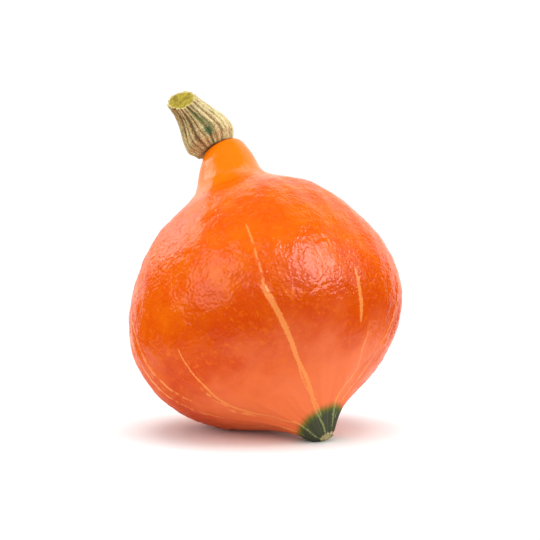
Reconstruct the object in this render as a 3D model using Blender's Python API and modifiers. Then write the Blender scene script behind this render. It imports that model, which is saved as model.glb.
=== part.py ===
"""Red kuri squash: an onion-shaped winter squash lying on its belly, with its dried, ribbed stalk.

Lengths are in metres. The squash is modelled standing on its blossom tip, with its axis along Z. It is then
leaned back until its belly and its tip are level, as it lies on a table, and the place that it rests on is
made flat. The origin is the middle of that flat spot, and the neck leans towards -X.
"""

import math

import bmesh
import bpy
import numpy as np
from mathutils import Matrix, Vector

MM = 0.001

# Fruit: height above the blossom tip and radius, in millimetres, at the points that its outline needs
FRUIT_OUTLINE = (
    (0.0, 0.0), (0.4, 4.2), (2.0, 6.4), (6.0, 9.5), (12.0, 15.2), (20.0, 26.0), (32.0, 45.8), (47.0, 62.0),
    (63.0, 69.8), (79.0, 71.4), (96.5, 67.3), (112.0, 59.6), (125.0, 49.5), (136.0, 35.7), (144.5, 25.4),
    (153.0, 19.1), (163.0, 15.8), (170.6, 12.8), (174.8, 10.2), (177.0, 5.8), (177.8, 0.0),
)
# The fruit isn't quite straight: height, and how far its middle line lies off the axis in X and Y
FRUIT_SWAY = (
    (0.0, -1.0, 2.8), (14.0, -0.3, 1.5), (30.0, -1.3, 0.9), (78.0, -2.5, 0.6), (110.0, -1.8, 0.9),
    (130.0, -0.3, 2.6), (150.0, 2.0, 6.2), (180.0, 3.8, 12.4),
)
FRUIT_RINGS = 46
# How strongly the rings crowd towards both ends, as a share of the outline's length
RING_CROWDING = 0.07
FRUIT_SIDES = 60
SUTURE_COUNT = 10
SUTURE_FIRST_ANGLE = math.radians(4)
SUTURE_SHARPNESS = 3
SUTURE_DEPTH_GIRTH = 0.5 * MM
SUTURE_GIRTH_RADIUS = 50 * MM
# Round the blossom tip the sutures are deeper: a share of the radius there
SUTURE_DEPTH_TIP = 0.07
SUTURE_TIP_FADE = 30 * MM
SUTURE_NECK_START = 140 * MM
SUTURE_NECK_END = 165 * MM
FLAT_SPOT_DEPTH = 0.5 * MM
TIP_HEIGHT = 12 * MM

# Seat that the stalk grows from: a flat place cut across the rounded end of the neck
SEAT_CENTRE = Vector((2.6, 7.4, 175.4)) * MM
SEAT_TILT = math.radians(10)
BEND_DIRECTION = math.radians(-66)
GROWTH_SEAM = 0.3 * MM

# Stalk: height above its base and radius, in millimetres
STALK_OUTLINE = (
    (0.0, 0.0), (0.0, 10.4), (1.3, 12.2), (4.0, 13.4), (8.0, 13.6), (14.0, 12.3), (20.0, 10.1), (26.0, 8.2),
    (32.0, 6.9), (42.0, 6.8), (42.0, 0.0),
)
STALK_RINGS = 12
STALK_RIBS = 12
STALK_SIDES_PER_RIB = 6
STALK_RIB_HEIGHT = 0.9 * MM
STALK_RIB_ROUNDNESS = 0.8
# The share of a rib's height that lies inside the outline, so that the outline runs between crest and crease
STALK_RIB_INSIDE = 0.7
STALK_UNEVEN_LOBES = 5
STALK_UNEVEN_SHARE = 0.35
STALK_UNEVEN_START = 1.0
# The flat ends have no ribs at their middle: they grow between these two radii
RIB_START_RADIUS = 2 * MM
RIB_FULL_RADIUS = 7 * MM
STALK_BEND = math.radians(41)
STALK_CUT_HEIGHT = 32.6 * MM
# The cut slants to another side than the one that the stalk bends to
STALK_CUT_TILT = math.radians(66)
STALK_CUT_DIRECTION = math.radians(-40)

SKIN_COLOUR = (0.87, 0.12, 0.006, 1.0)
SKIN_ROUGHNESS = 0.35
STALK_COLOUR = (0.55, 0.40, 0.17, 1.0)
STALK_ROUGHNESS = 0.85


def clear_scene():
    """Remove every object, so that only the squash is left."""
    for obj in list(bpy.data.objects):
        bpy.data.objects.remove(obj, do_unlink=True)


def make_material(name, colour, roughness):
    """A plain material with the piece's own colour and gloss."""
    material = bpy.data.materials.new(name)
    material.use_nodes = True
    shader = material.node_tree.nodes["Principled BSDF"]
    shader.inputs["Base Color"].default_value = colour
    shader.inputs["Roughness"].default_value = roughness
    shader.inputs["Metallic"].default_value = 0.0
    return material


def smooth_curve(points, positions):
    """The natural cubic spline through the points, read at positions from 0 at the first to 1 at the last."""
    points = np.array(points, float)
    steps = np.linalg.norm(np.diff(points, axis=0), axis=1)
    knots = np.concatenate([[0.0], np.cumsum(steps)])
    system = np.eye(len(points))
    target = np.zeros_like(points)
    slopes = np.diff(points, axis=0) / steps[:, None]
    for i in range(1, len(points) - 1):
        system[i, i - 1 : i + 2] = steps[i - 1], 2 * (steps[i - 1] + steps[i]), steps[i]
        target[i] = 6 * (slopes[i] - slopes[i - 1])
    bends = np.linalg.solve(system, target)
    places = np.asarray(positions, float) * knots[-1]
    span = np.clip(np.searchsorted(knots, places, side="right") - 1, 0, len(steps) - 1)
    before = (places - knots[span])[:, None]
    after = (knots[span + 1] - places)[:, None]
    step = steps[span][:, None]
    curve = (bends[span] * after**3 + bends[span + 1] * before**3) / (6 * step)
    curve += (points[span] / step - bends[span] * step / 6) * after
    return curve + (points[span + 1] / step - bends[span + 1] * step / 6) * before


def smooth_step(value, start, end):
    """0 before start, 1 after end and an even slope between them."""
    share = np.clip((value - start) / (end - start), 0.0, 1.0)
    return share * share * (3 - 2 * share)


def turned_mesh(name, outline, sides):
    """A closed mesh turned about Z from an outline of (height, radius) points, listed from the bottom up."""
    profile = bpy.data.meshes.new(name + "_profile")
    points = [(radius, 0.0, height) for height, radius in reversed(outline)]
    edges = [(i, i + 1) for i in range(len(points) - 1)]
    profile.from_pydata(points, edges, [])
    lathe = bpy.data.objects.new(name + "_lathe", profile)
    bpy.context.scene.collection.objects.link(lathe)
    screw = lathe.modifiers.new("Turn", "SCREW")
    screw.axis = "Z"
    screw.angle = 2 * math.pi
    screw.steps = sides
    screw.render_steps = sides
    screw.use_merge_vertices = True
    screw.merge_threshold = 0.00001
    graph = bpy.context.evaluated_depsgraph_get()
    mesh = bpy.data.meshes.new_from_object(lathe.evaluated_get(graph))
    mesh.name = name
    bpy.data.objects.remove(lathe, do_unlink=True)
    return mesh


def read_points(mesh):
    """The mesh's points, one row each."""
    flat = np.empty(len(mesh.vertices) * 3)
    mesh.vertices.foreach_get("co", flat)
    return flat.reshape(-1, 3)


def write_points(mesh, points):
    """Move the mesh's points to the given places."""
    mesh.vertices.foreach_set("co", points.ravel())
    mesh.update()


def cut_flat(mesh, point, normal):
    """Remove what lies beyond the plane, on the side that the normal points to, and close the cut flat."""
    work = bmesh.new()
    work.from_mesh(mesh)
    cut = bmesh.ops.bisect_plane(
        work,
        geom=work.verts[:] + work.edges[:] + work.faces[:],
        dist=1e-7,
        plane_co=point,
        plane_no=normal,
        clear_outer=True,
    )
    rim = [part for part in cut["geom_cut"] if isinstance(part, bmesh.types.BMEdge)]
    bmesh.ops.holes_fill(work, edges=rim, sides=0)
    bmesh.ops.recalc_face_normals(work, faces=work.faces[:])
    work.to_mesh(mesh)
    work.free()


def tilted_direction(tilt, towards=BEND_DIRECTION):
    """The unit vector that leans from +Z by the angle tilt, towards a side given by its angle about Z."""
    level = Vector((math.cos(towards), math.sin(towards), 0.0))
    return Vector((0.0, 0.0, 1.0)) * math.cos(tilt) + level * math.sin(tilt)


def fruit_outline():
    """The fruit's outline as (height, radius) points in metres, closer together at its tip and its neck."""
    share = np.linspace(0.0, 1.0, FRUIT_RINGS)
    spread = share - RING_CROWDING * np.sin(2 * math.pi * share)
    curve = smooth_curve(FRUIT_OUTLINE, spread) * MM
    curve[0] = np.array(FRUIT_OUTLINE[0]) * MM
    curve[-1] = np.array(FRUIT_OUTLINE[-1]) * MM
    return curve.tolist()


def sway_at(height):
    """How far the fruit's middle line lies off the axis in X and in Y, at each height."""
    line = smooth_curve(FRUIT_SWAY, np.linspace(0.0, 1.0, 200)) * MM
    return np.interp(height, line[:, 0], line[:, 1]), np.interp(height, line[:, 0], line[:, 2])


def suture_depth(radius, angle, height):
    """How far the skin is drawn in at each point: soft grooves along the fruit, deeper at its blossom tip."""
    groove = np.cos(SUTURE_COUNT * (angle - SUTURE_FIRST_ANGLE)) ** SUTURE_SHARPNESS
    below_neck = 1 - smooth_step(height, SUTURE_NECK_START, SUTURE_NECK_END)
    at_girth = SUTURE_DEPTH_GIRTH * smooth_step(radius, 0.0, SUTURE_GIRTH_RADIUS) * below_neck
    at_tip = SUTURE_DEPTH_TIP * radius * (1 - smooth_step(height, 0.0, SUTURE_TIP_FADE))
    return groove * (at_girth + at_tip)


def make_fruit_mesh():
    """The upright fruit: turned, with soft sutures and a slight sway, and cut flat where the stalk sits."""
    mesh = turned_mesh("fruit", fruit_outline(), FRUIT_SIDES)
    points = read_points(mesh)
    radius = np.hypot(points[:, 0], points[:, 1])
    angle = np.arctan2(points[:, 1], points[:, 0])
    height = points[:, 2].copy()
    radius = radius - suture_depth(radius, angle, height)
    sway_x, sway_y = sway_at(height)
    points[:, 0] = radius * np.cos(angle) + sway_x
    points[:, 1] = radius * np.sin(angle) + sway_y
    write_points(mesh, points)
    cut_flat(mesh, SEAT_CENTRE, tilted_direction(SEAT_TILT))
    return mesh


def stalk_outline():
    """The stalk's outline as (height, radius) points in metres, with a sharp rim at its base."""
    side = smooth_curve(STALK_OUTLINE[1:-1], np.linspace(0.0, 1.0, STALK_RINGS)) * MM
    ends = np.array([STALK_OUTLINE[0], STALK_OUTLINE[-1]]) * MM
    return [ends[0].tolist()] + side.tolist() + [ends[1].tolist()]


def ribbed(radius, angle):
    """The stalk's radius with its ribs, which are rounded, meet in sharp creases and are uneven in height."""
    rib = np.abs(np.sin(0.5 * STALK_RIBS * angle)) ** STALK_RIB_ROUNDNESS
    uneven = STALK_UNEVEN_SHARE * np.sin(STALK_UNEVEN_LOBES * angle + STALK_UNEVEN_START)
    relief = STALK_RIB_HEIGHT * (rib + uneven - STALK_RIB_INSIDE)
    return radius + relief * smooth_step(radius, RIB_START_RADIUS, RIB_FULL_RADIUS)


def stalk_middle(turn):
    """The point on the stalk's middle line where it has turned by the angle turn since its base."""
    curvature = STALK_BEND / STALK_CUT_HEIGHT
    ahead = tilted_direction(SEAT_TILT)
    over = tilted_direction(SEAT_TILT + math.pi / 2)
    base = SEAT_CENTRE + ahead * GROWTH_SEAM
    return base + (ahead * math.sin(turn) + over * (1 - math.cos(turn))) / curvature


def make_stalk_mesh():
    """The stalk: turned and flared, with ribs along it, bent over, seated on the neck and cut off aslant."""
    mesh = turned_mesh("stalk", stalk_outline(), STALK_RIBS * STALK_SIDES_PER_RIB)
    points = read_points(mesh)
    angle = np.arctan2(points[:, 1], points[:, 0])
    radius = ribbed(np.hypot(points[:, 0], points[:, 1]), angle)
    across = radius * np.cos(angle)
    aside = radius * np.sin(angle)
    turns = points[:, 2] * STALK_BEND / STALK_CUT_HEIGHT
    side = Vector((-math.sin(BEND_DIRECTION), math.cos(BEND_DIRECTION), 0.0))
    for i, turn in enumerate(turns):
        outward = tilted_direction(SEAT_TILT + turn + math.pi / 2)
        points[i] = stalk_middle(turn) + outward * across[i] + side * aside[i]
    write_points(mesh, points)
    cut_flat(mesh, stalk_middle(STALK_BEND), tilted_direction(STALK_CUT_TILT, STALK_CUT_DIRECTION))
    return mesh


def resting_lean(points):
    """The angle to lean the fruit back by, so that its blossom tip and its belly are level."""
    height = points[:, 2]
    tip = points[height < TIP_HEIGHT]
    belly = points[height >= TIP_HEIGHT]
    low, high = math.radians(10), math.radians(60)
    for _ in range(40):
        lean = (low + high) / 2
        down = np.array([math.sin(lean), 0.0, math.cos(lean)])
        if (tip @ down).min() < (belly @ down).min():
            low = lean
        else:
            high = lean
    return (low + high) / 2


def flat_spot_middle(mesh):
    """The middle of the flat spot under the belly, away from the smaller one where the blossom tip rests."""
    points = read_points(mesh)
    low = points[points[:, 2] < points[:, 2].min() + 0.001 * MM]
    belly = low[low[:, 0] < low[:, 0].max() - 2 * TIP_HEIGHT]
    return (belly.min(axis=0) + belly.max(axis=0)) / 2


def lay_down(fruit, stalk):
    """Lean both meshes back, cut the resting place flat and put its middle at the origin."""
    lean = resting_lean(read_points(fruit))
    turn = Matrix.Rotation(-lean, 4, "Y")
    for mesh in (fruit, stalk):
        mesh.transform(turn)
    floor = read_points(fruit)[:, 2].min() + FLAT_SPOT_DEPTH
    cut_flat(fruit, Vector((0.0, 0.0, floor)), Vector((0.0, 0.0, -1.0)))
    middle = flat_spot_middle(fruit)
    for mesh in (fruit, stalk):
        mesh.transform(Matrix.Translation(-Vector(middle)))


def add_piece(collection, name, mesh, material):
    """Put a finished mesh in the collection as a named, smoothly shaded piece."""
    piece = bpy.data.objects.new(name, mesh)
    collection.objects.link(piece)
    mesh.materials.clear()
    mesh.materials.append(material)
    mesh.shade_smooth()
    mesh.set_sharp_from_angle(angle=math.radians(50))
    return piece


def main():
    """Build the squash's two pieces, fruit and stalk."""
    clear_scene()
    squash = bpy.data.collections.new("red_kuri_squash")
    bpy.context.scene.collection.children.link(squash)
    fruit = make_fruit_mesh()
    stalk = make_stalk_mesh()
    lay_down(fruit, stalk)
    add_piece(squash, "fruit", fruit, make_material("squash_skin", SKIN_COLOUR, SKIN_ROUGHNESS))
    add_piece(squash, "stalk", stalk, make_material("dried_stalk", STALK_COLOUR, STALK_ROUGHNESS))


main()
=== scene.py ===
"""Looks of a red kuri squash: waxy orange skin, dark green blossom tip and dried corky stalk.

Lengths that carry _mm in their name are millimetres, and meshes are metres in the CAD part's frame. The
squash is grown standing on its blossom tip, with its axis along Z, and then laid down as the CAD part lies.
"""
import logging
import math
from dataclasses import dataclass
from enum import Enum
from functools import partial

import bpy
import numpy as np
from bpy.types import Material, Mesh, Node, NodeOutputs, NodeSocket, NodeTree, Object
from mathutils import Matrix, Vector


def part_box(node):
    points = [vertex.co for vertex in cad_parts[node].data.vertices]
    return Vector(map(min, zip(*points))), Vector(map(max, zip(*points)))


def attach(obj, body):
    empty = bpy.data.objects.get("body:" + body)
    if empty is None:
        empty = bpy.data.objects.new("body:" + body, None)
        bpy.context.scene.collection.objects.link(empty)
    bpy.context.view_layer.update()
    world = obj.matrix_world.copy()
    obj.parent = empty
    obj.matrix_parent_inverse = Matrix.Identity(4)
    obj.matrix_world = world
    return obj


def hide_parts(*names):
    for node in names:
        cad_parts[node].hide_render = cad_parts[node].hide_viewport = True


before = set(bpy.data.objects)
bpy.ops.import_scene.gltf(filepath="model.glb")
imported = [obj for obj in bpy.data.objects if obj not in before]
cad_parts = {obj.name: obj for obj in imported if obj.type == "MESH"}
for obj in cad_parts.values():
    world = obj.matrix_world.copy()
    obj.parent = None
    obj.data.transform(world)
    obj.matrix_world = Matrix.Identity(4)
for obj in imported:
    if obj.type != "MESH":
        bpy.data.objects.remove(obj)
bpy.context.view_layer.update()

MM = 0.001
WELD_MM = 0.005
LEVEL = (1.0, 1.0, 0.0)
FAMILIES = ("ShaderNode", "GeometryNode", "FunctionNode", "")
OPTIONS = ("operation", "interpolation_type", "data_type")
LOG = logging.getLogger("squash")


def linear(hex_colour: str) -> tuple[float, ...]:
    """Turn an sRGB hex colour into linear light.

    Args:
        hex_colour: Six hex digits after a hash sign.

    Returns:
        Red, green, blue and full opacity.
    """
    parts = [int(hex_colour[i : i + 2], 16) / 255 for i in (1, 3, 5)]
    red, green, blue = (p / 12.92 if p <= 0.04045 else ((p + 0.055) / 1.055) ** 2.4 for p in parts)
    return red, green, blue, 1.0


def level_vector(length: float, angle: float) -> tuple[float, ...]:
    """Return the level vector of a length that points at an angle about the axis."""
    return length * math.cos(angle), length * math.sin(angle), 0.0


def label(socket: NodeSocket) -> str:
    """Return a socket's name in small letters with underscores."""
    return socket.name.lower().replace(" ", "_")


def fill_inputs(tree: NodeTree, node: Node, *values, **named) -> None:
    """Set or link a node's inputs.

    Args:
        tree: The node's tree.
        node: The node.
        values: A value, a hex colour, a socket, or a node for its first output, for each input in turn.
        named: The same for inputs by name, in small letters with underscores.
    """
    shown = [socket for socket in node.inputs if socket.enabled]
    labels = [label(socket) for socket in shown]
    pairs = [*zip(shown, values), *((shown[labels.index(name)], value) for name, value in named.items())]
    for socket, value in pairs:
        if isinstance(value, str) and value.startswith("#"):
            value = linear(value)
        if isinstance(value, Node):
            value = next(output for output in value.outputs if output.enabled)
        if isinstance(value, NodeSocket):
            tree.links.new(value, socket)
        else:
            socket.default_value = value


def add_node(tree: NodeTree, kind: str, *values, **named) -> Node:
    """Add one node with its settings and links.

    Args:
        tree: The tree that the node joins.
        kind: Its type without its family, and after a dot its operation, interpolation or data type. An
            operation alone is a Math node's.
        values: Its inputs in turn, as fill_inputs takes them.
        named: Inputs by name, and the node's other settings.

    Returns:
        The new node.
    """
    kind, _, option = ("Math." + kind if kind.isupper() else kind).partition(".")
    node = tree.nodes.new(next(family + kind for family in FAMILIES if hasattr(bpy.types, family + kind)))
    if option:
        setattr(node, next(setting for setting in OPTIONS if hasattr(node, setting)), option)
    labels = [label(socket) for socket in node.inputs]
    for name in [name for name in named if name not in labels]:
        setattr(node, name, named.pop(name))
    fill_inputs(tree, node, *values, **named)
    return node


def new_material(name: str) -> tuple[Material, partial, partial]:
    """Make a material whose shader is one Principled node.

    Args:
        name: What the surface is and how it came to be.

    Returns:
        The material, what adds a node to it, and what fills its shader's inputs.
    """
    material = bpy.data.materials.new(name)
    material.use_nodes = True
    tree = material.node_tree
    return material, partial(add_node, tree), partial(fill_inputs, tree, tree.nodes["Principled BSDF"])


def new_geometry_tree(name: str, sizes: dict[str, float]) -> tuple[NodeTree, partial, Node]:
    """Make a Geometry Nodes tree with a geometry going through and a named input for each size.

    Args:
        name: What the tree makes.
        sizes: The inputs' names and values; whole numbers give whole-number inputs.

    Returns:
        The tree, what adds a node to it, and its group input node.
    """
    tree = bpy.data.node_groups.new(name, "GeometryNodeTree")
    for way in ("INPUT", "OUTPUT"):
        tree.interface.new_socket("Geometry", in_out=way, socket_type="NodeSocketGeometry")
    for size, value in sizes.items():
        kind = "NodeSocketInt" if isinstance(value, int) else "NodeSocketFloat"
        tree.interface.new_socket(size, in_out="INPUT", socket_type=kind)
    return tree, partial(add_node, tree), add_node(tree, "NodeGroupInput")


def turned_grid(add: partial, given: Node) -> tuple:
    """Add the nodes that copy an outline all the way round.

    Args:
        add: Adds a node.
        given: The tree's inputs: the outline, radius along X and height along Z, and the number of sides.

    Returns:
        The grid, and for its points the ring, the angle, the direction outward, the radius and the height.
    """
    rings = add("AttributeDomainSize", given)
    columns = add("ADD", given.outputs["Sides"], 1.0)
    grid = add("MeshGrid", 1.0, 1.0, columns, rings)
    index = add("InputIndex")
    ring = add("IntegerMath.MODULO", index, rings)
    column = add("IntegerMath.DIVIDE_FLOOR", index, rings)
    turn = add("DIVIDE", column, given.outputs["Sides"])
    turn = add("MULTIPLY", turn, 2 * math.pi)
    outline = add("SampleIndex.FLOAT_VECTOR", given, add("InputPosition"), ring)
    parts = add("SeparateXYZ", outline).outputs
    outward = add("CombineXYZ", add("COSINE", turn), add("SINE", turn))
    return grid, ring, turn, outward, parts["X"], parts["Z"]


def finish_geometry_tree(add: partial, shape: Node, finish: Material) -> None:
    """End a tree in real faces that wear one finish.

    Args:
        add: Adds a node.
        shape: The node whose first output is the shape.
        finish: The material of its faces.
    """
    real = add("RealizeInstances", shape)
    add("NodeGroupOutput", add("SetMaterial", real, material=finish))


def grown_mesh(name: str, start: Mesh, tree: NodeTree, sizes: dict) -> Mesh:
    """Run a Geometry Nodes tree on a mesh.

    Args:
        name: The new mesh's name.
        start: The mesh that the tree starts from.
        tree: The tree.
        sizes: A value for each of the tree's named inputs.

    Returns:
        The result as a plain mesh.
    """
    maker = bpy.data.objects.new(name + "_maker", start)
    bpy.context.scene.collection.objects.link(maker)
    modifier = maker.modifiers.new("grow", "NODES")
    modifier.node_group = tree
    for item in tree.interface.items_tree:
        if item.in_out == "INPUT" and item.name in sizes:
            modifier[item.identifier] = sizes[item.name]
    seen = maker.evaluated_get(bpy.context.evaluated_depsgraph_get())
    mesh = bpy.data.meshes.new_from_object(seen)
    maker.modifiers.clear()
    bpy.data.objects.remove(maker)
    mesh.name = name
    return mesh


def wire_mesh(name: str, points: np.ndarray, **notes) -> Mesh:
    """Make a mesh of loose points.

    Args:
        name: The mesh's name.
        points: One row of x, y, z for each point.
        notes: Named rows that it carries, a vector for each point.

    Returns:
        The mesh.
    """
    mesh = bpy.data.meshes.new(name)
    mesh.from_pydata([tuple(p) for p in points], [], [])
    for note, rows in notes.items():
        mesh.attributes.new(note, "FLOAT_VECTOR", "POINT").data.foreach_set("vector", np.ravel(rows))
    return mesh


def read_points(mesh: Mesh) -> np.ndarray:
    """Return a mesh's points, one row of x, y, z each."""
    flat = np.empty(len(mesh.vertices) * 3, np.float32)
    mesh.vertices.foreach_get("co", flat)
    return flat.reshape(-1, 3).astype(float)


def write_points(mesh: Mesh, points: np.ndarray) -> None:
    """Move a mesh's points to the rows given."""
    mesh.vertices.foreach_set("co", points.astype(np.float32).ravel())
    mesh.update()


def add_piece(name: str, mesh: Mesh, replaces: str | None = None) -> None:
    """Put a finished mesh in the scene as a piece of the squash.

    Args:
        name: The piece's name.
        mesh: Its mesh, already in place.
        replaces: The CAD node that it stands for.
    """
    mesh.shade_smooth()
    piece = bpy.data.objects.new(name, mesh)
    bpy.context.scene.collection.objects.link(piece)
    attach(piece, "root")
    if replaces:
        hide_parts(replaces)
    mesh.calc_loop_triangles()
    LOG.info("%s: %d triangles", name, len(mesh.loop_triangles))


def smooth_curve(points: tuple, positions: np.ndarray) -> np.ndarray:
    """Read a natural cubic spline through some points.

    Args:
        points: The points that the curve passes through.
        positions: Where to read it, from 0 at its start to 1 at its end.

    Returns:
        One row for each position.
    """
    rows = np.array(points, float)
    steps = np.linalg.norm(np.diff(rows, axis=0), axis=1)
    knots = np.concatenate([[0.0], np.cumsum(steps)])
    system = np.eye(len(rows))
    target = np.zeros_like(rows)
    slopes = np.diff(rows, axis=0) / steps[:, None]
    for i in range(1, len(rows) - 1):
        system[i, i - 1 : i + 2] = steps[i - 1], 2 * (steps[i - 1] + steps[i]), steps[i]
        target[i] = 6 * (slopes[i] - slopes[i - 1])
    bends = np.linalg.solve(system, target)
    places = np.asarray(positions, float) * knots[-1]
    span = np.clip(np.searchsorted(knots, places, side="right") - 1, 0, len(steps) - 1)
    before = (places - knots[span])[:, None]
    after = (knots[span + 1] - places)[:, None]
    step = steps[span][:, None]
    curve = (bends[span] * after**3 + bends[span + 1] * before**3) / (6 * step)
    curve += (rows[span] / step - bends[span] * step / 6) * after
    return curve + (rows[span + 1] / step - bends[span + 1] * step / 6) * before


@dataclass
class Growth:
    """How the squash grew and how it lies, with the CAD part's own measures.

    The outline is height above the blossom tip and radius. The sway is a height and how far the middle
    line lies off the axis there.
    """

    outline_mm: tuple = (
        (0.0, 0.0), (0.4, 4.2), (2.0, 6.4), (6.0, 9.5), (12.0, 15.2), (20.0, 26.0), (32.0, 45.8),
        (47.0, 62.0), (63.0, 69.8), (79.0, 71.4), (96.5, 67.3), (112.0, 59.6), (125.0, 49.5),
        (136.0, 35.7), (144.5, 25.4), (153.0, 19.1), (163.0, 15.8), (170.6, 12.8), (174.8, 10.2),
        (177.0, 5.8), (177.8, 0.0),
    )
    sway_mm: tuple = (
        (0.0, -1.0, 2.8), (14.0, -0.3, 1.5), (30.0, -1.3, 0.9), (78.0, -2.5, 0.6), (110.0, -1.8, 0.9),
        (130.0, -0.3, 2.6), (150.0, 2.0, 6.2), (180.0, 3.8, 12.4),
    )
    ring_crowding: float = 0.07
    tip_height_mm: float = 12.0
    seat_centre_mm: tuple = (2.6, 7.4, 175.4)
    seat_tilt: float = math.radians(10)
    bend_direction: float = math.radians(-66)
    lean: float = 0.0
    shift: tuple | np.ndarray = (0.0, 0.0, 0.0)

    def outline(self, rings: int) -> np.ndarray:
        """Return the outline's points in metres, radius along X and height along Z, from the tip up.

        Args:
            rings: How many points.

        Returns:
            One row for each.
        """
        share = np.linspace(0, 1, rings)
        curve = smooth_curve(self.outline_mm, share - self.ring_crowding * np.sin(2 * math.pi * share))
        curve[0], curve[-1] = self.outline_mm[0], self.outline_mm[-1]
        return np.stack([curve[:, 1], np.zeros(rings), curve[:, 0]], axis=1) * MM

    def sway_at(self, height: np.ndarray) -> np.ndarray:
        """Return how far the middle line lies off the axis at each height, as vectors in metres."""
        line = smooth_curve(self.sway_mm, np.linspace(0, 1, 200)) * MM
        columns = [np.interp(height, line[:, 0], line[:, i]) for i in (1, 2)]
        return np.stack([*columns, np.zeros_like(height)], axis=1)

    def tilted(self, tilt: float, towards: float | None = None) -> np.ndarray:
        """Return the direction that leans by a tilt, to the stalk's bend unless another side is given."""
        side = self.bend_direction if towards is None else towards
        return np.array([math.cos(side) * math.sin(tilt), math.sin(side) * math.sin(tilt), math.cos(tilt)])

    def seated(self, points: np.ndarray) -> np.ndarray:
        """Return points, in metres, with what stands above the stalk's seat pressed down onto it."""
        above = (points - np.array(self.seat_centre_mm) * MM) @ self.tilted(self.seat_tilt)
        return points - np.maximum(above, 0)[:, None] * self.tilted(self.seat_tilt)

    def turned(self, points: np.ndarray, lean: float) -> np.ndarray:
        """Turn points back by a lean, as the squash lies."""
        x, y, z = points.T
        ahead, up = x * math.cos(lean) - z * math.sin(lean), x * math.sin(lean) + z * math.cos(lean)
        return np.stack([ahead, y, up], axis=1)

    def settle(self, skin: np.ndarray) -> None:
        """Work out the lean and the place at which the CAD part lies.

        Args:
            skin: The points of the skin without its fine relief.
        """
        tip = skin[:, 2] < self.tip_height_mm * MM
        low, high = math.radians(10), math.radians(70)
        for _ in range(40):
            self.lean = (low + high) / 2
            level = self.turned(skin, self.lean)[:, 2]
            if level[tip].min() < level[~tip].min():
                low = self.lean
            else:
                high = self.lean
        lying = self.turned(skin, self.lean)
        corners = np.array([lying.min(axis=0), lying.max(axis=0)])
        self.shift = np.mean(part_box("fruit"), axis=0) - corners.mean(axis=0)
        self.shift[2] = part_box("fruit")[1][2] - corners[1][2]

    def laid_down(self, points: np.ndarray) -> np.ndarray:
        """Lay grown points down as the CAD part lies, flattened where they meet the surface.

        Args:
            points: Points of the standing squash, in metres.

        Returns:
            The same points in the part's frame.
        """
        lying = self.turned(points, self.lean) + self.shift
        lying[:, 2] = np.maximum(lying[:, 2], 0)
        return lying


STREAK_TOP_MM = 130.0
STREAK_WIDEST_MM = 3.0


class Strength(Enum):
    """How clearly a pale streak shows: the share of it that its gaps leave."""

    CLEAR = 0.12
    BROKEN = 0.42
    SPECKLED = 0.5


@dataclass(frozen=True)
class Streak:
    """A pale streak along the skin.

    Its points are height above the tip, compass angle about the axis in degrees, and half its width.
    """

    points: tuple
    strength: Strength = Strength.CLEAR

    def draw(self, add: partial, grown: Node, ragged: Node) -> Node:
        """Add the nodes that say where the streak is.

        Args:
            add: Adds a node.
            grown: The place on the standing squash, in millimetres.
            ragged: The raggedness of the edges, in millimetres.

        Returns:
            The node with 1 on the streak and 0 beside it.
        """
        tallest = STREAK_TOP_MM
        share = add("DIVIDE", add("SeparateXYZ", grown).outputs["Z"], tallest)
        middle = sum(point[1] for point in self.points) / len(self.points)
        angles = [(h / tallest, (angle - middle) / 180 + 0.5) for h, angle, _ in self.points]
        widths = [(h / tallest, width / STREAK_WIDEST_MM) for h, _, width in self.points]
        first, last = self.points[0][0], self.points[-1][0]
        widths = [((first - 2) / tallest, 0.0), *widths, ((last + 2) / tallest, 0.0)]
        readings = []
        for rows in (angles, widths):
            curve = add("FloatCurve", value=share)
            line = curve.mapping.curves[0]
            for x, y in rows[1:-1]:
                line.points.new(x, y)
            line.points[0].location = rows[0]
            line.points[-1].location = rows[-1]
            curve.mapping.update()
            readings.append(curve)
        turn = add("MULTIPLY_ADD", readings[0], math.pi, math.radians(middle - 90))
        facing = add("CombineXYZ", add("COSINE", turn), add("SINE", turn))
        across = add("VectorRotate", facing, angle=math.pi / 2, rotation_type="Z_AXIS")
        ahead = add("VectorMath.DOT_PRODUCT", grown, facing)
        away = add("ABSOLUTE", add("VectorMath.DOT_PRODUCT", grown, across))
        reach = add("MULTIPLY_ADD", readings[1], STREAK_WIDEST_MM, ragged)
        edge = add("MapRange", add("SUBTRACT", reach, away), -0.15, 0.25)
        gaps = add("TexNoise", grown, scale=0.16, detail=2.0)
        kept = add("MapRange", gaps, self.strength.value - 0.05, self.strength.value + 0.05)
        whole = add("MULTIPLY", edge, kept)
        return add("MULTIPLY", whole, add("GREATER_THAN", ahead, 0.0))


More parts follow.
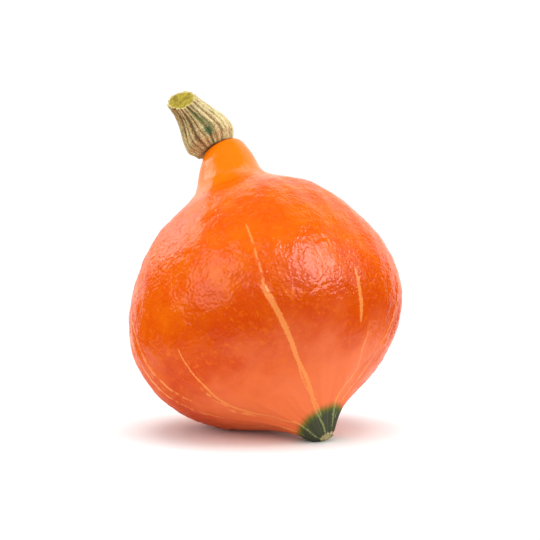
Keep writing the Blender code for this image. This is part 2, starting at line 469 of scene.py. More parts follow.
@dataclass(frozen=True)
class WaxySkin:
    """Rind of a red kuri squash, grown smooth and waxy.

    To the eye it is a deep saturated orange under a thin clear wax. The wax mirrors the lights softly, and
    the fine hammered dents under it break their edges up.
    """

    # painted light: the pale pink of the skin nearest the blossom end stands in for the white floor's bounce
    # and reflection
    tip: str = "#E87242"
    belly: str = "#C93E03"
    shoulder: str = "#E15400"
    neck: str = "#EA7402"
    mottle: str = "#EC7002"
    fleck: str = "#F27A10"
    pale: str = "#F0934C"
    green: str = "#454838"
    olive: str = "#5B6428"
    pale_green: str = "#8F9A5E"
    cork: str = "#B7A878"
    # painted shade: dark red-brown put on the skin where the stalk sits, for the shadow in the crease under
    # its foot
    seat_crease_shade: str = "#7A2E10"
    roughness: float = 0.36
    tip_roughness: float = 0.6
    gloss: float = 0.0
    ior: float = 1.47
    wax: float = 0.3
    wax_roughness: float = 0.14
    streak_cover: float = 0.78
    cloud_mm: float = 24.0
    mottle_mm: float = 16.0
    fleck_mm: float = 2.4
    dent_mm: float = 1.8
    wrinkle_mm: float = 1.1
    scar_off_mm: tuple = (1.4, 1.5)
    scar_radius_mm: float = 4.0
    green_height_mm: float = 9.9
    green_slant_mm: float = 2.3
    green_slant_angle: float = math.radians(65)
    streaks: tuple = (
        Streak(((1.5, 344.5, 0.5), (4.8, 340, 0.55), (10, 332.5, 0.8), (17, 332.6, 1.0), (21, 331.8, 1.1),
                (28, 328.4, 1.2), (35, 327.8, 1.4), (50, 325.9, 1.6), (57, 324.9, 1.7), (61, 324.8, 1.0))),
        Streak(((9.0, 340, 0.5), (14, 335.5, 0.55), (18.5, 329.0, 0.5), (23, 327.2, 0.45), (29, 328, 0.4))),
        Streak(((61.0, 324.8, 0.8), (66, 325.8, 0.75), (75, 326.3, 0.8), (84, 327.2, 0.7),
                (95, 327.6, 0.5)), Strength.BROKEN),
        Streak(((1.0, 287, 0.4), (5, 282.6, 0.55), (8.8, 279.6, 0.6), (13, 263.8, 0.7), (17, 259.5, 0.8),
                (23, 255.3, 0.9), (28, 258.3, 1.0), (38, 268.6, 0.9), (45, 272.6, 0.6), (54, 276.5, 0.4))),
        Streak(((22.5, 251, 0.9), (27, 253, 1.8), (31, 258, 1.7), (37, 264, 0.7)), Strength.SPECKLED),
        Streak(((38.0, 12.8, 0.6), (42, 11.5, 1.2), (48, 9.6, 1.3), (55, 8.3, 0.9), (60, 7.6, 0.4))),
        Streak(((1.5, 27, 0.4), (5.2, 21.8, 0.5), (9, 19.6, 0.55), (14, 19.0, 0.7), (18, 26.5, 0.8),
                (22.5, 33.5, 0.8), (28, 25.4, 0.6), (36, 21, 0.4))),
        Streak(((9.0, 42, 0.5), (18, 45, 0.7), (23, 48.6, 0.7), (29, 45.5, 0.5)), Strength.BROKEN),
        Streak(((34.0, 44, 0.5), (47, 45, 0.8), (62, 44, 0.4)), Strength.BROKEN),
        Streak(((6.0, 246, 0.4), (12, 240, 0.6), (25, 212, 0.7), (40, 206, 0.6)), Strength.BROKEN),
        Streak(((40.0, 249, 0.6), (60, 251.5, 1.2), (76, 254, 1.1), (92, 253, 0.8), (116, 252, 0.5)),
               Strength.BROKEN),
        Streak(((30.0, 238, 0.7), (52, 243, 1.3), (70, 246, 1.4), (90, 245, 1.0), (110, 247, 0.6)),
               Strength.SPECKLED),
        Streak(((3.0, 76, 0.6), (20, 74, 0.9), (45, 77, 1.2), (66, 75, 0.8), (84, 76, 0.4)), Strength.BROKEN),
        Streak(((3.0, 112, 0.5), (18, 113, 0.8), (40, 110, 0.7), (58, 112, 0.4))),
        Streak(((3.0, 149, 0.6), (22, 147, 1.1), (44, 149, 1.5), (70, 147, 0.8), (96, 148, 0.4)),
               Strength.BROKEN),
        Streak(((3.0, 185, 0.5), (24, 183, 0.8), (50, 185, 0.5)), Strength.BROKEN),
    )

    def make(self) -> Material:
        """Make the skin's material, which reads its notes of where each point stood as the squash grew."""
        material, add, dress = new_material("squash_rind_waxy_grown")
        grown = add("VectorMath.ADD", add("Attribute", attribute_name="growth").outputs["Vector"])
        height = add("SeparateXYZ", grown).outputs["Z"]
        outward = add("VectorMath.NORMALIZE", add("VectorMath.MULTIPLY", grown, LEVEL))
        ragged = add("TexNoise", grown, scale=1.1, detail=3.0, roughness=0.6)
        ragged_mm = add("MapRange", ragged, 0.3, 0.7, -0.55, 0.35, clamp=False)
        pale = 0.0
        for streak in self.streaks:
            pale = add("MAXIMUM", pale, streak.draw(add, grown, ragged_mm))
        covered = add("MULTIPLY", pale, self.streak_cover)
        colour = add("Mix.RGBA", covered, self.ground(add, grown, height), self.pale)
        green, colour = self.blossom_end(add, grown, outward, height, pale, colour)
        # painted shade: the skin is darkened red-brown on and just below the stalk's seat, standing in for
        # the shadow in the crease under the stalk's foot
        seat = add("Attribute", attribute_name="below_seat").outputs["Fac"]
        colour = add("Mix.RGBA", add("MapRange", seat, 0.3, 1.3, 0.9, 0.0), colour, self.seat_crease_shade)
        rough = add("TexNoise", grown, scale=1 / 6.0, detail=3.0)
        rough = add("MapRange", rough, 0.3, 0.7, self.roughness - 0.05, self.roughness + 0.06)
        rough = add("Mix", green, rough, self.tip_roughness)
        waxed = add("MapRange", green, to_min=self.wax, to_max=0.33 * self.wax)
        relief = self.relief(add, grown, height)
        dress(base_color=colour, roughness=rough, ior=self.ior, specular_ior_level=self.gloss,
              coat_weight=waxed, coat_roughness=self.wax_roughness, normal=relief, coat_normal=relief)
        return material

    def ground(self, add: partial, grown: Node, height: NodeSocket) -> Node:
        """Add the orange ground: redder below, yellower on the neck, mottled and flecked. Nearest the blossom
        end it is paler and pinker, which is painted light: the white floor's bounce and reflection.

        Args:
            add: Adds a node.
            grown: The place on the standing squash, in millimetres.
            height: Its height.

        Returns:
            The node with the colour.
        """
        along = add("VectorMath.MULTIPLY", grown, (1.0, 1.0, 0.5))
        cloud = add("TexNoise", along, scale=1 / self.cloud_mm, detail=3.0)
        level = add("ADD", height, add("MULTIPLY_ADD", cloud, 40.0, -20.0))
        # painted light: the ground starts from the pale pink tip colour, which stands in for the white
        # floor's bounce and reflection on the blossom end
        zones, colour = [], self.tip
        for start, end, shade in ((20.0, 50.0, self.belly), (38.0, 80.0, self.shoulder),
                                  (124.0, 158.0, self.neck)):
            zones.append(add("MapRange.SMOOTHSTEP", level, start, end))
            colour = add("Mix.RGBA", zones[-1], colour, shade)
        spots = add("TexNoise", grown, scale=1 / self.mottle_mm, detail=4.0, roughness=0.62)
        spots = add("MapRange", spots, 0.42, 0.68, to_max=0.6)
        spots = add("MULTIPLY", spots, add("MapRange", zones[1], to_min=0.3))
        colour = add("Mix.RGBA", spots, colour, self.mottle)
        flecks = add("TexNoise", grown, scale=1 / self.fleck_mm, detail=2.0, roughness=0.6, distortion=0.4)
        crowd = add("TexNoise", grown, scale=1 / 12.0, detail=2.0)
        crowd = add("MULTIPLY_ADD", crowd, 0.3, flecks)
        fleck = add("MULTIPLY", add("MapRange", crowd, 0.68, 0.9, to_max=0.42), zones[0])
        return add("Mix.RGBA", fleck, colour, self.fleck)

    def blossom_end(self, add: partial, grown: Node, outward: Node, height: NodeSocket, pale: Node,
                    colour: Node) -> tuple:
        """Add the dark green cone at the blossom end, its feathered edge, pale lines and corky scar.

        Args:
            add: Adds a node.
            grown: The place on the standing squash, in millimetres.
            outward: The direction away from the axis.
            height: The height above the tip.
            pale: The node with the streaks.
            colour: The colour so far.

        Returns:
            The node with how green the skin is, and the node with the new colour.
        """
        slant = level_vector(self.green_slant_mm, self.green_slant_angle)
        higher = add("VectorMath.DOT_PRODUCT", outward, slant)
        hairs = add("VectorMath.MULTIPLY", outward, (14.0, 14.0, 0.0))
        feather = add("TexNoise", hairs, scale=1.0, detail=3.0, roughness=0.7)
        feather = add("MULTIPLY_ADD", feather, 3.6, self.green_height_mm - 1.8)
        depth = add("SUBTRACT", add("ADD", feather, higher), height)
        green = add("MapRange.SMOOTHSTEP", depth, -1.9, 1.7)
        tint = add("Mix.RGBA", add("MapRange.SMOOTHSTEP", depth, 0.6, 3.2), self.olive, self.green)
        sides = add("SeparateXYZ", outward).outputs
        turn = add("ARCTAN2", sides["Y"], sides["X"])
        turn = add("MULTIPLY_ADD", turn, 10.0, -10.0 * math.radians(4))
        line = add("MapRange", add("COSINE", turn), 0.955, 0.995, to_max=0.2)
        line = add("MULTIPLY", add("MAXIMUM", line, pale), 0.75)
        colour = add("Mix.RGBA", green, colour, add("Mix.RGBA", line, tint, self.pale_green))
        away = add("VectorMath.DISTANCE", grown, (*self.scar_off_mm, 0.0))
        scar = add("TexNoise", grown, scale=0.9, detail=3.0)
        scar = add("MULTIPLY_ADD", scar, 2.4, self.scar_radius_mm - 1.2)
        scar = add("MapRange", add("SUBTRACT", scar, away), 0.0, 0.5)
        return green, add("Mix.RGBA", scar, colour, self.cork)

    def relief(self, add: partial, grown: Node, height: NodeSocket) -> Node:
        """Add the fine dents and wrinkles that are too small for the mesh.

        Args:
            add: Adds a node.
            grown: The place on the standing squash, in millimetres.
            height: Its height.

        Returns:
            The bump node.
        """
        swirl = add("TexNoise", grown, scale=0.35, detail=1.0).outputs["Color"]
        place = add("VectorMath.ADD", grown, add("VectorMath.SCALE", swirl, scale=2.2))
        dents = add("TexVoronoi", place, scale=1 / self.dent_mm, smoothness=0.6, feature="SMOOTH_F1")
        wrinkles = add("TexNoise", grown, scale=1 / self.wrinkle_mm, detail=2.0, roughness=0.6)
        both = add("MULTIPLY_ADD", dents, -1.0, add("MULTIPLY", wrinkles, 0.35))
        strength = add("MapRange", height, 128.0, 150.0, 0.85, 0.3)
        strength = add("MULTIPLY", strength, add("MapRange", height, 12.0, 40.0, 0.3, 1.0))
        return add("Bump", strength=strength, distance=0.00033, height=both)


@dataclass
class Fruit:
    """The squash itself: skin turned from its outline, with sutures, soft lumps and hammered dents."""

    growth: Growth
    finish: WaxySkin
    rings: int = 292
    sizes = {
        "Sides": 324, "Suture count": 10, "First suture": math.radians(4), "Suture sharpness": 3.0,
        "Girth suture depth": 0.5 * MM, "Girth radius": 50 * MM, "Tip suture depth": 0.07,
        "Tip fade": 30 * MM, "Neck start": 140 * MM, "Neck end": 165 * MM, "Lump size": 26 * MM,
        "Lump depth": 0.5 * MM, "Dent size": 7.0 * MM, "Dent depth": 0.6 * MM, "Wrinkle size": 3.4 * MM,
        "Wrinkle depth": 0.22 * MM, "Seed": 7.0,
    }

    def tree(self, material: Material) -> NodeTree:
        """Draw the tree that turns the outline into skin.

        Args:
            material: The skin's finish.

        Returns:
            The tree. It takes the outline's points with a note of their sway.
        """
        tree, add, given = new_geometry_tree("turned_skin", self.sizes)
        size = given.outputs
        grid, ring, turn, outward, radius, height = turned_grid(add, given)
        sway = add("InputNamedAttribute.FLOAT_VECTOR", name="sway")
        sway = add("SampleIndex.FLOAT_VECTOR", given, sway, ring)
        radius = add("SUBTRACT", radius, self.suture(add, size, radius, height, turn))
        spread = add("VectorMath.SCALE", outward, scale=radius)
        stood = add("VectorMath.ADD", spread, add("CombineXYZ", z=height))
        swayed = add("VectorMath.ADD", stood, sway)
        noted = add("VectorMath.SCALE", stood, scale=1 / MM)
        skin = add("StoreNamedAttribute.FLOAT_VECTOR", grid, name="growth", value=noted)
        skin = add("SetPosition", skin, position=swayed)
        skin = add("MergeByDistance", skin, distance=WELD_MM * MM)
        offset = add("VectorMath.SCALE", add("InputNormal"), scale=self.relief(add, size))
        finish_geometry_tree(add, add("SetPosition", skin, offset=offset), material)
        return tree

    def suture(self, add: partial, size: NodeOutputs, radius: NodeSocket, height: NodeSocket,
               turn: Node) -> Node:
        """Add the nodes for the sutures, the shallow grooves that run from the tip towards the neck.

        Args:
            add: Adds a node.
            size: The tree's sizes.
            radius: The outline's radius.
            height: The outline's height.
            turn: The angle about the axis.

        Returns:
            The node with the groove's depth.
        """
        turn = add("SUBTRACT", turn, size["First suture"])
        wave = add("COSINE", add("MULTIPLY", turn, size["Suture count"]))
        groove = add("POWER", wave, size["Suture sharpness"])
        wide = add("MapRange.SMOOTHSTEP", radius, 0.0, size["Girth radius"], 0.0, size["Girth suture depth"])
        neck = add("MapRange.SMOOTHSTEP", height, size["Neck start"], size["Neck end"], 1.0, 0.0)
        tip = add("MapRange.SMOOTHSTEP", height, 0.0, size["Tip fade"], size["Tip suture depth"], 0.0)
        depth = add("MULTIPLY_ADD", tip, radius, add("MULTIPLY", wide, neck))
        return add("MULTIPLY", depth, groove)

    def relief(self, add: partial, size: NodeOutputs) -> Node:
        """Add the nodes for the soft lumps and hammered dents.

        Args:
            add: Adds a node.
            size: The tree's sizes.

        Returns:
            The node with how far the skin stands out.
        """
        place = add("InputPosition")
        total = 0.0
        for name, detail in (("Lump", 1.0), ("Dent", 1.0), ("Wrinkle", 2.0)):
            scale = add("DIVIDE", 1.0, size[name + " size"])
            noise = add("TexNoise", place, size["Seed"], scale, detail, noise_dimensions="4D")
            depth = add("MULTIPLY", size[name + " depth"], 2.0)
            total = add("MULTIPLY_ADD", add("SUBTRACT", noise, 0.5), depth, total)
        height = add("SeparateXYZ", place).outputs["Z"]
        low = add("MapRange.SMOOTHSTEP", height, 3 * MM, 30 * MM)
        high = add("MapRange.SMOOTHSTEP", height, 125 * MM, 165 * MM, 1.0, 0.15)
        return add("MULTIPLY", total, add("MULTIPLY", low, high))

    def build(self) -> None:
        """Grow the skin, lay it down as the CAD part lies and put it in the scene."""
        outline = self.growth.outline(self.rings)
        start = wire_mesh("skin_outline", outline, sway=self.growth.sway_at(outline[:, 2]))
        tree = self.tree(self.finish.make())
        plain = self.sizes | {name + " depth": 0.0 for name in ("Lump", "Dent", "Wrinkle")}
        smooth = grown_mesh("smooth_skin", start, tree, plain)
        self.growth.settle(self.growth.seated(read_points(smooth)))
        bpy.data.meshes.remove(smooth)
        skin = grown_mesh("squash_skin", start, tree, self.sizes)
        points = self.growth.seated(read_points(skin))
        seat = np.array(self.growth.seat_centre_mm) * MM
        below = (seat - points) @ self.growth.tilted(self.growth.seat_tilt)
        skin.attributes.new("below_seat", "FLOAT", "POINT").data.foreach_set("value", below / MM)
        write_points(skin, self.growth.laid_down(points))
        add_piece("squash_skin", skin, replaces="fruit")


@dataclass(frozen=True)
class CorkyStalk:
    """Dried squash stalk, grown corky and furrowed.

    To the eye it is matt straw-coloured cork in raised strands, with brown cracks between them and some
    green left in the hollows. The darkening in the furrows is partly the bark's own brown and partly
    painted shade, and the paler strands on one side are painted light.
    """

    pale: str = "#E2D3A0"
    straw: str = "#C8AE74"
    tan: str = "#9A7747"
    # partly painted shade: the darkest bark colour, in the deepest furrows, is partly brown cracks and partly
    # the shade that falls there
    crack_and_furrow_shade: str = "#644424"
    olive: str = "#667038"
    green: str = "#3C4C20"
    green_angle: float = math.radians(30)
    green_height_mm: float = 9.0
    green_radius_mm: float = 13.4
    # painted light: the angle about the stalk of the side whose strands are painted paler, as if lit from
    # there
    lit_side_angle: float = math.radians(95)
    roughness: float = 0.85
    fibre_mm: float = 0.55
    blotch_mm: float = 6.0

    def make(self) -> Material:
        """Make the bark's material, which reads the stalk's own notes."""
        material, add, dress = new_material("squash_stalk_dried_corky")
        place = add("Attribute", attribute_name="growth").outputs["Vector"]
        furrow = add("Attribute", attribute_name="furrow").outputs["Fac"]
        strands = add("VectorMath.MULTIPLY", place, (1.0, 1.0, 0.34))
        fibres = add("TexNoise", strands, scale=1 / self.fibre_mm, detail=4.0, roughness=0.7)
        blotches = add("TexNoise", place, scale=1 / self.blotch_mm, detail=3.0)
        outward = add("VectorMath.NORMALIZE", add("VectorMath.MULTIPLY", place, LEVEL))
        # painted light: the strands on one side of the stalk are made paler, as if lit from that side
        lit_side = add("VectorMath.DOT_PRODUCT", outward, level_vector(1.0, self.lit_side_angle))
        lit_side = add("MapRange", lit_side, 0.3, 0.9, to_max=0.22)
        crest = add("MULTIPLY_ADD", fibres, 1.9, lit_side)
        crest = add("MULTIPLY_ADD", blotches, 0.7, crest)
        # partly painted shade: the deeper in a furrow, the darker the bark; this is partly its own brown
        # cracks and partly the shade in the furrows
        crest = add("SUBTRACT", add("SUBTRACT", crest, furrow), 0.36)
        colour = add("ValToRGB", crest)
        ramp = colour.color_ramp.elements
        ramp[0].position, ramp[0].color = 0.08, linear(self.crack_and_furrow_shade)
        ramp[1].position, ramp[1].color = 0.92, linear(self.pale)
        for position, shade in ((0.34, self.tan), (0.62, self.straw)):
            ramp.new(position).color = linear(shade)
        groove = add("VectorMath.DOT_PRODUCT", outward, level_vector(1.0, self.green_angle))
        groove = add("MapRange", groove, 0.965, 0.99, to_max=0.95)
        middle = *level_vector(self.green_radius_mm, self.green_angle)[:2], 0.4 * self.green_height_mm
        patch = add("VectorMath.DISTANCE", add("VectorMath.MULTIPLY", place, (1.0, 1.0, 0.4)), middle)
        patch = add("MULTIPLY_ADD", fibres, 3.6, patch)
        patch = add("MapRange", patch, 4.2, 3.0, to_max=0.95)
        patchy = add("TexNoise", strands, scale=0.42, detail=3.0, roughness=0.65)
        groove = add("MULTIPLY", groove, add("MapRange", patchy, 0.42, 0.54, to_min=0.1))
        stray = add("MAXIMUM", add("MapRange", patchy, 0.52, 0.62, to_max=0.45), groove)
        stray = add("MULTIPLY", stray, add("MapRange", furrow, 0.15, 0.5, to_min=0.25))
        colour = add("Mix.RGBA", stray, colour, self.olive)
        colour = add("Mix.RGBA", patch, colour, self.green)
        dress(base_color=colour, roughness=self.roughness, specular_ior_level=0.25,
              normal=add("Bump", strength=0.9, distance=0.0007, height=fibres))
        return material


@dataclass(frozen=True)
class CutStalk:
    """Cut end of a squash stalk, knife-cut and dried.

    To the eye it is olive-yellow pith with fine pores inside a pale woody rim.
    """

    pith: str = "#806C10"
    pith_light: str = "#AA971C"
    rim: str = "#C4B472"
    pore: str = "#625A1A"
    roughness: float = 0.8
    pore_mm: float = 0.7

    def make(self) -> Material:
        """Make the cut face's material, which reads the stalk's own notes."""
        material, add, dress = new_material("squash_stalk_cut_dried")
        place = add("Attribute", attribute_name="growth").outputs["Vector"]
        radius = add("VectorMath.LENGTH", add("VectorMath.MULTIPLY", place, LEVEL))
        uneven = add("TexNoise", place, scale=0.45, detail=4.0, roughness=0.65)
        colour = add("Mix.RGBA", add("MapRange", uneven, 0.38, 0.6), self.pith, self.pith_light)
        pores = add("TexVoronoi", place, scale=1 / self.pore_mm)
        colour = add("Mix.RGBA", add("MapRange", pores, 0.3, 0.12, to_max=0.6), colour, self.pore)
        wander = add("MULTIPLY_ADD", uneven, 1.8, radius)
        colour = add("Mix.RGBA", add("MapRange", wander, 6.6, 7.3), colour, self.rim)
        dress(base_color=colour, roughness=self.roughness, specular_ior_level=0.2,
              normal=add("Bump", strength=0.6, distance=0.0002, height=pores))
        return material


@dataclass
class Stalk:
    """The dried stalk: a ribbed, furrowed column flared over the neck, bent over and cut across."""

    growth: Growth
    bark: CorkyStalk
    cut: CutStalk
    outline_mm: tuple = (
        (0.0, 10.3), (1.6, 11.3), (4.6, 13.2), (8.0, 13.6), (14.0, 12.3), (20.0, 10.1), (26.0, 8.2),
        (32.6, 6.9),
    )
    wall_rings: int = 190
    cap_rings: int = 26
    seam_mm: float = 0.3
    bend: float = math.radians(41)
    cut_height_mm: float = 32.6
    cut_tilt: float = math.radians(66)
    cut_direction: float = math.radians(-40)
    sizes = {
        "Sides": 360, "Ribs": 12, "Rib height": 0.7 * MM, "Rib roundness": 0.8, "Uneven lobes": 5,
        "Uneven share": 0.35, "Strands": 25, "Strand height": 0.75 * MM, "Fibre height": 0.3 * MM,
        "Foot drop": 1.5 * MM, "Cut height": 32.6 * MM, "Cut slope X": 0.0, "Cut slope Y": 0.0,
        "Bend per metre": 0.0, "Cut taper": 0.2, "Seed": 3.0,
    }

    def outline(self) -> np.ndarray:
        """Return the outline's points in metres from the middle of the foot to the middle of the cut."""
        wall = smooth_curve(self.outline_mm, np.linspace(0, 1, self.wall_rings))
        foot = np.stack([np.zeros(6), np.linspace(0, 1, 6) * wall[0, 1]], axis=1)[:-1]
        share = np.linspace(1, 0, self.cap_rings + 1)[1:]
        cap = np.stack([np.full(self.cap_rings, wall[-1, 0]), share * wall[-1, 1]], axis=1)
        rows = np.concatenate([foot, wall, cap])
        return np.stack([rows[:, 1], np.zeros(len(rows)), rows[:, 0]], axis=1) * MM

    def tree(self, bark: Material, cut: Material) -> NodeTree:
        """Draw the tree that turns the outline into a furrowed stalk, still straight.

        Args:
            bark: The finish of its side.
            cut: The finish of its cut end.

        Returns:
            The tree.
        """
        tree, add, given = new_geometry_tree("furrowed_stalk", self.sizes)
        size = given.outputs
        grid, _, turn, outward, radius, height = turned_grid(add, given)
        furrow, raised = self.strands(add, size, outward, height, turn)
        raised = add("MULTIPLY", raised, add("MapRange.SMOOTHSTEP", radius, 2 * MM, 7 * MM))
        radius = add("ADD", radius, raised)
        toe = add("MULTIPLY_ADD", furrow, -1.0, -0.4)
        overhang = add("MapRange.SMOOTHSTEP", radius, 10.8 * MM, 13 * MM)
        near_foot = add("MapRange.SMOOTHSTEP", height, 0.0, 7 * MM, 1.0, 0.0)
        for share in (overhang, near_foot, size["Foot drop"]):
            toe = add("MULTIPLY", toe, share)
        lower = add("CombineXYZ", z=add("SUBTRACT", height, toe))
        stood = add("VectorMath.ADD", add("VectorMath.SCALE", outward, scale=radius), lower)
        noted = add("VectorMath.SCALE", stood, scale=1 / MM)
        shape = add("StoreNamedAttribute.FLOAT_VECTOR", grid, name="growth", value=noted)
        shape = add("StoreNamedAttribute.FLOAT", shape, name="furrow", value=furrow)
        shape = add("SetPosition", shape, position=stood)
        shape = add("SetMaterial", shape, material=bark)
        level = add("SeparateXYZ", add("InputPosition")).outputs["Z"]
        on_cap = add("GREATER_THAN", level, (self.cut_height_mm - 0.04) * MM)
        shape = add("SetMaterial", shape, selection=on_cap, material=cut)
        shape = add("MergeByDistance", shape, distance=WELD_MM * MM)
        add("NodeGroupOutput", add("RealizeInstances", self.slanted(add, size, shape)))
        return tree

    def slanted(self, add: partial, size: NodeOutputs, shape: Node) -> Node:
        """Add the nodes that slant the stalk's level end as the knife cut it.

        Args:
            add: Adds a node.
            size: The tree's sizes.
            shape: The straight stalk.

        Returns:
            The node with the slanted stalk.
        """
        place = add("InputPosition")
        parts = add("SeparateXYZ", place).outputs
        share = add("POWER", add("DIVIDE", parts["Z"], size["Cut height"]), 3.0)
        slope = add("CombineXYZ", size["Cut slope X"], size["Cut slope Y"])
        drop = add("MULTIPLY", add("VectorMath.DOT_PRODUCT", place, slope), share)
        squeeze = add("SUBTRACT", 1.0, add("MULTIPLY", parts["X"], size["Bend per metre"]))
        drop = add("DIVIDE", drop, squeeze)
        wider = add("MULTIPLY", add("MAXIMUM", drop, 0.0), size["Cut taper"])
        outward = add("VectorMath.NORMALIZE", add("VectorMath.MULTIPLY", place, LEVEL))
        wider = add("VectorMath.SCALE", outward, scale=wider)
        offset = add("VectorMath.SUBTRACT", wider, add("CombineXYZ", z=drop))
        return add("SetPosition", shape, offset=offset)

    def strands(self, add: partial, size: NodeOutputs, outward: Node, height: NodeSocket,
                turn: Node) -> tuple:
        """Add the nodes for the ribs, the corky strands on them and their fibres.

        Args:
            add: Adds a node.
            size: The tree's sizes.
            outward: The direction away from the axis.
            height: The height above the foot.
            turn: The angle about the axis.

        Returns:
            How deep in a furrow a point is, from 0 to 1, and how far it stands out.
        """
        def noise(across: float, along: float, **grain) -> Node:
            """Add noise with so much change across the stalk and along it."""
            up = add("VectorMath.SCALE", add("CombineXYZ", z=height), scale=along)
            spot = add("VectorMath.MULTIPLY_ADD", outward, (across, across, 0.0), up)
            return add("TexNoise", spot, w=size["Seed"], scale=1.0, noise_dimensions="4D", **grain)

        def folds(angle: Node, count: NodeSocket) -> Node:
            """Add a number of round folds about the axis."""
            wave = add("MULTIPLY", angle, add("MULTIPLY", count, 0.5))
            return add("ABSOLUTE", add("SINE", wave))

        drift = add("MULTIPLY_ADD", noise(1.6, 26.0, detail=1.0), 0.6, -0.3)
        rib = add("POWER", folds(add("ADD", turn, drift), size["Ribs"]), size["Rib roundness"])
        lobes = add("SINE", add("MULTIPLY_ADD", turn, size["Uneven lobes"], 1.0))
        shape = add("ADD", rib, add("MULTIPLY", lobes, size["Uneven share"]))
        shape = add("MULTIPLY", add("SUBTRACT", shape, 0.7), size["Rib height"])
        strand = folds(add("MULTIPLY_ADD", drift, 1.1, turn), size["Strands"])
        grade = add("MapRange", noise(5.0, 40.0, detail=2.0), 0.35, 0.6, to_min=0.45)
        strand = add("MULTIPLY", strand, grade)
        fold = add("SUBTRACT", noise(17.0, 130.0, detail=3.0, roughness=0.6), 0.5)
        fibre = add("MapRange", add("ABSOLUTE", fold), 0.0, 0.14)
        raised = add("MULTIPLY_ADD", strand, size["Strand height"], shape)
        raised = add("MULTIPLY_ADD", fibre, size["Fibre height"], raised)
        sunk = add("MULTIPLY_ADD", size["Strand height"], -0.7, raised)
        top = add("MULTIPLY_ADD", strand, 0.55, add("MULTIPLY", rib, 0.25))
        top = add("MULTIPLY_ADD", fibre, 0.2, top)
        return add("SUBTRACT", 1.0, top), sunk

    def slopes(self) -> dict[str, float]:
        """Return how steeply the cut runs across the stalk and how sharply it bends, as the tree's inputs."""
        tilt = self.growth.seat_tilt + self.bend
        normal = self.growth.tilted(self.cut_tilt, self.cut_direction)
        across = self.growth.tilted(tilt + math.pi / 2)
        aside = np.cross(self.growth.tilted(tilt), across)
        along = normal @ self.growth.tilted(tilt)
        return {
            "Cut slope X": float(normal @ across / along),
            "Cut slope Y": float(normal @ aside / along),
            "Bend per metre": self.bend / (self.cut_height_mm * MM),
        }

    def bent(self, points: np.ndarray) -> np.ndarray:
        """Bend the straight stalk over and set it on its seat.

        Args:
            points: The straight stalk's points, in metres.

        Returns:
            The points on the standing squash.
        """
        length = self.cut_height_mm * MM
        turn = points[:, 2] * self.bend / length
        tilt = self.growth.seat_tilt
        ahead, over = self.growth.tilted(tilt), self.growth.tilted(tilt + math.pi / 2)
        side = np.array([-math.sin(self.growth.bend_direction), math.cos(self.growth.bend_direction), 0.0])
        base = np.array(self.growth.seat_centre_mm) * MM + ahead * self.seam_mm * MM
        middle = np.outer(np.sin(turn), ahead) + np.outer(1 - np.cos(turn), over)
        lean = np.outer(np.cos(turn), over) - np.outer(np.sin(turn), ahead)
        return base + middle * length / self.bend + lean * points[:, :1] + side * points[:, 1:2]

    def build(self) -> None:
        """Grow the stalk, bend it, lay it down with the squash and put it in the scene."""
        start = wire_mesh("stalk_outline", self.outline())
        tree = self.tree(self.bark.make(), self.cut.make())
        stalk = grown_mesh("squash_stalk", start, tree, self.sizes | self.slopes())
        write_points(stalk, self.growth.laid_down(self.bent(read_points(stalk))))
        add_piece("squash_stalk", stalk, replaces="stalk")


@dataclass(frozen=True)
class CorkyScar:
    """Corky scar tissue, grown and dried where the flower dropped off.

    To the eye it is matt, crumbly and pale, with darker hollows.
    """

    pale: str = "#C4B68A"
    dark: str = "#6E6038"
    roughness: float = 0.9
    crumb_mm: float = 0.8
    off_mm: tuple = (1.4, 1.5)

    def make(self) -> Material:
        """Make the scar's material."""
        material, add, dress = new_material("blossom_scar_dried_cork")
        place = add("TexCoord").outputs["Object"]
        noise = add("TexNoise", place, scale=1 / (self.crumb_mm * MM), detail=3.0)
        colour = add("Mix.RGBA", add("MapRange", noise, 0.35, 0.65), self.dark, self.pale)
        dress(base_color=colour, roughness=self.roughness,
              normal=add("Bump", strength=0.6, distance=0.0002, height=noise))
        return material


@dataclass
class BlossomScar:
    """The ring of corky crumbs at the blossom tip."""

    growth: Growth
    finish: CorkyScar
    sizes = {
        "Crumbs": 22, "Ring radius": 2.7 * MM, "Crumb radius": 0.62 * MM, "Wander": 0.5 * MM, "Seed": 5,
    }

    def tree(self, material: Material) -> NodeTree:
        """Draw the tree that sets the crumbs round the ring.

        Args:
            material: Their finish.

        Returns:
            The tree.
        """
        tree, add, given = new_geometry_tree("scar_crumbs", self.sizes)
        size = given.outputs
        chance = partial(add, "RandomValue.FLOAT_VECTOR", seed=size["Seed"])
        wander = chance(min=(-1.0, -1.0, -0.2), max=(1.0, 1.0, 0.2))
        wander = add("VectorMath.SCALE", wander, scale=size["Wander"])
        ring = add("MeshCircle", size["Crumbs"], size["Ring radius"])
        ring = add("SetPosition", ring, offset=wander)
        crumb = add("MeshIcoSphere", size["Crumb radius"], 2)
        crumbs = add("InstanceOnPoints", ring, instance=crumb,
                     rotation=chance(min=(0.0, 0.0, 0.0), max=(6.3, 6.3, 6.3)),
                     scale=chance(min=(0.6, 0.6, 0.5), max=(1.5, 1.3, 1.0)))
        finish_geometry_tree(add, crumbs, material)
        return tree

    def build(self) -> None:
        """Set the crumbs at the tip and put them in the scene."""
        start = wire_mesh("scar_start", np.zeros((1, 3)))
        scar = grown_mesh("blossom_scar", start, self.tree(self.finish.make()), self.sizes)
        tip = self.growth.sway_at(np.zeros(1)) + np.array([*self.finish.off_mm, 0.35]) * MM
        write_points(scar, self.growth.laid_down(read_points(scar) + tip))
        add_piece("blossom_scar", scar)


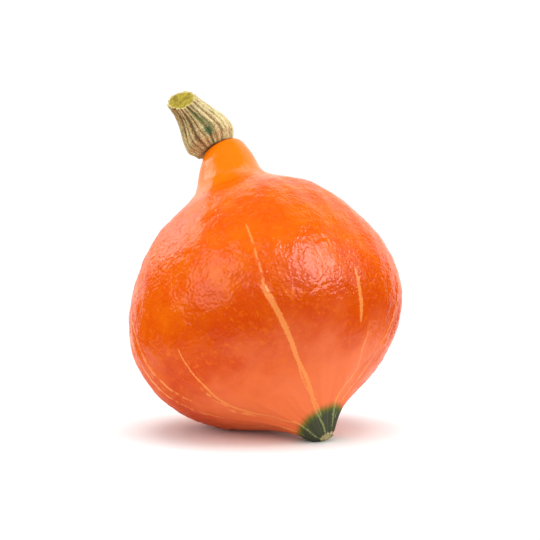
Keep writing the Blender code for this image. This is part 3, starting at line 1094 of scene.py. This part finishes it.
@dataclass
class Studio:
    """A plain pale floor, soft lights and panels, a white background and the photograph's camera."""

    azimuth: float = math.radians(54.7)
    elevation: float = math.radians(5.35)
    distance: float = 1.2
    target_mm: tuple = (7.72, 6.34, 82.71)
    lens_mm: float = 153.6
    sensor_mm: float = 36.0
    floor_radius: float = 0.17
    floor_colour: str = "#F7FDFE"
    fill: float = 0.88
    behind: float = 2.5
    before: float = 0.03
    overhead: float = 0.08

    def towards(self, azimuth_off: float, elevation: float) -> Vector:
        """Return the direction at an angle to the camera's right, as seen from above, and an elevation."""
        turn = self.azimuth + math.radians(azimuth_off)
        rise = math.radians(elevation)
        return Vector((math.sin(turn) * math.cos(rise), -math.cos(turn) * math.cos(rise), math.sin(rise)))

    def hang(self, name: str, data: bpy.types.ID, azimuth_off: float, elevation: float,
             away: float = 0.9) -> Object:
        """Put a camera or a light where it faces the squash.

        Args:
            name: Its name.
            data: The camera or light itself.
            azimuth_off: Degrees from the camera, to its right.
            elevation: Degrees above the floor.
            away: Distance from the squash in metres.

        Returns:
            Its object.
        """
        hung = bpy.data.objects.new(name, data)
        bpy.context.scene.collection.objects.link(hung)
        back = self.towards(azimuth_off, elevation)
        hung.location = Vector(self.target_mm) * MM + back * away
        hung.rotation_euler = (-back).to_track_quat("-Z", "Y").to_euler()
        return hung

    def camera(self) -> None:
        """Stand the camera where the photograph was taken from."""
        data = bpy.data.cameras.new("photo_camera")
        data.lens, data.sensor_width = self.lens_mm, self.sensor_mm
        elevation = math.degrees(self.elevation)
        bpy.context.scene.camera = self.hang("photo_camera", data, 0.0, elevation, self.distance)

    def softbox(self, name: str, size: tuple, power: float, *place: float, matt: bool = False) -> None:
        """Hang a soft light that faces the squash.

        Args:
            name: The light's name.
            size: Width and height in metres.
            power: Watts.
            place: Where it hangs, as hang takes it.
            matt: Whether it lights matt surfaces, and isn't mirrored in shiny skin instead.
        """
        data = bpy.data.lights.new(name, "AREA")
        data.shape, data.energy = "RECTANGLE", power
        data.size, data.size_y = size
        light = self.hang(name, data, *place)
        light.visible_glossy, light.visible_diffuse = not matt, matt

    def floor(self) -> None:
        """Lay a round matt white floor."""
        mesh = bpy.data.meshes.new("floor")
        corners = [(self.floor_radius * math.cos(a), self.floor_radius * math.sin(a), 0.0)
                   for a in np.linspace(0, 2 * math.pi, 64, endpoint=False)]
        mesh.from_pydata(corners, [], [list(range(64))])
        material, _, dress = new_material("matt_white_paper")
        dress(base_color=self.floor_colour, roughness=0.9, specular_ior_level=0.1)
        mesh.materials.append(material)
        floor = bpy.data.objects.new("floor", mesh)
        bpy.context.scene.collection.objects.link(floor)

    def background(self) -> None:
        """Make the room white to the camera, even to matt skin, and to gloss white only behind the squash."""
        world = bpy.data.worlds.new("white_room")
        world.use_nodes = True
        world.cycles.sampling_method = "NONE"
        bpy.context.scene.world = world
        add = partial(add_node, world.node_tree)
        toward = add("TexCoord").outputs["Generated"]
        level = add("VectorMath.NORMALIZE", add("VectorMath.MULTIPLY", toward, LEVEL))
        side = add("VectorMath.DOT_PRODUCT", level, tuple(-self.towards(0.0, 0.0)))
        rise = add("SeparateXYZ", toward).outputs["Z"]
        wider = add("MULTIPLY_ADD", rise, 0.5, side)
        light = add("MapRange.SMOOTHSTEP", wider, 0.69, 0.84, self.before, self.behind)
        low, high = (math.sin(math.radians(angle)) for angle in (42, 60))
        light = add("MULTIPLY", light, add("MapRange.SMOOTHSTEP", rise, low, high, 1.0, self.overhead))
        path = add("LightPath").outputs
        light = add("Mix", path["Is Diffuse Ray"], light, self.fill)
        light = add("Mix", path["Is Camera Ray"], light, 1.05)
        fill_inputs(world.node_tree, world.node_tree.nodes["Background"], (1.0, 1.0, 1.0, 1.0), light)

    def build(self) -> None:
        """Set up the whole studio."""
        bpy.context.scene.view_settings.view_transform = "Standard"
        self.camera()
        self.floor()
        self.background()
        self.softbox("softbox_left", (0.8, 0.86), 13.0, -47.0, 30.0)
        self.softbox("softbox_right", (0.58, 0.72), 19.5, 50.0, 34.0)
        self.softbox("panel_right", (1.85, 1.0), 18.0, 52.0, 31.0, 1.1)
        self.softbox("panel_left", (0.5, 0.4), 3.0, -125.0, 33.0)
        self.softbox("ceiling", (1.1, 1.1), 10.6, 0.0, 89.0, 1.2, matt=True)
        self.softbox("right_fill", (0.6, 0.6), 3.0, 95.0, 16.0, 1.0, matt=True)
        self.softbox("left_fill", (0.6, 0.6), 1.1, -112.0, 12.0, 1.0, matt=True)
        self.softbox("front_fill", (1.2, 0.3), 1.9, -15.0, 2.0, 1.3, matt=True)
        LOG.info("studio: floor, four mirrored lights, four matt ones, white background and camera")


def main() -> None:
    """Build the studio and the squash, piece by piece, and note the sizes."""
    logging.basicConfig(level=logging.INFO, format="%(name)s: %(message)s")
    Studio().build()
    growth = Growth()
    Fruit(growth, WaxySkin()).build()
    Stalk(growth, CorkyStalk(), CutStalk()).build()
    BlossomScar(growth, CorkyScar()).build()


if __name__ == "__main__":
    main()
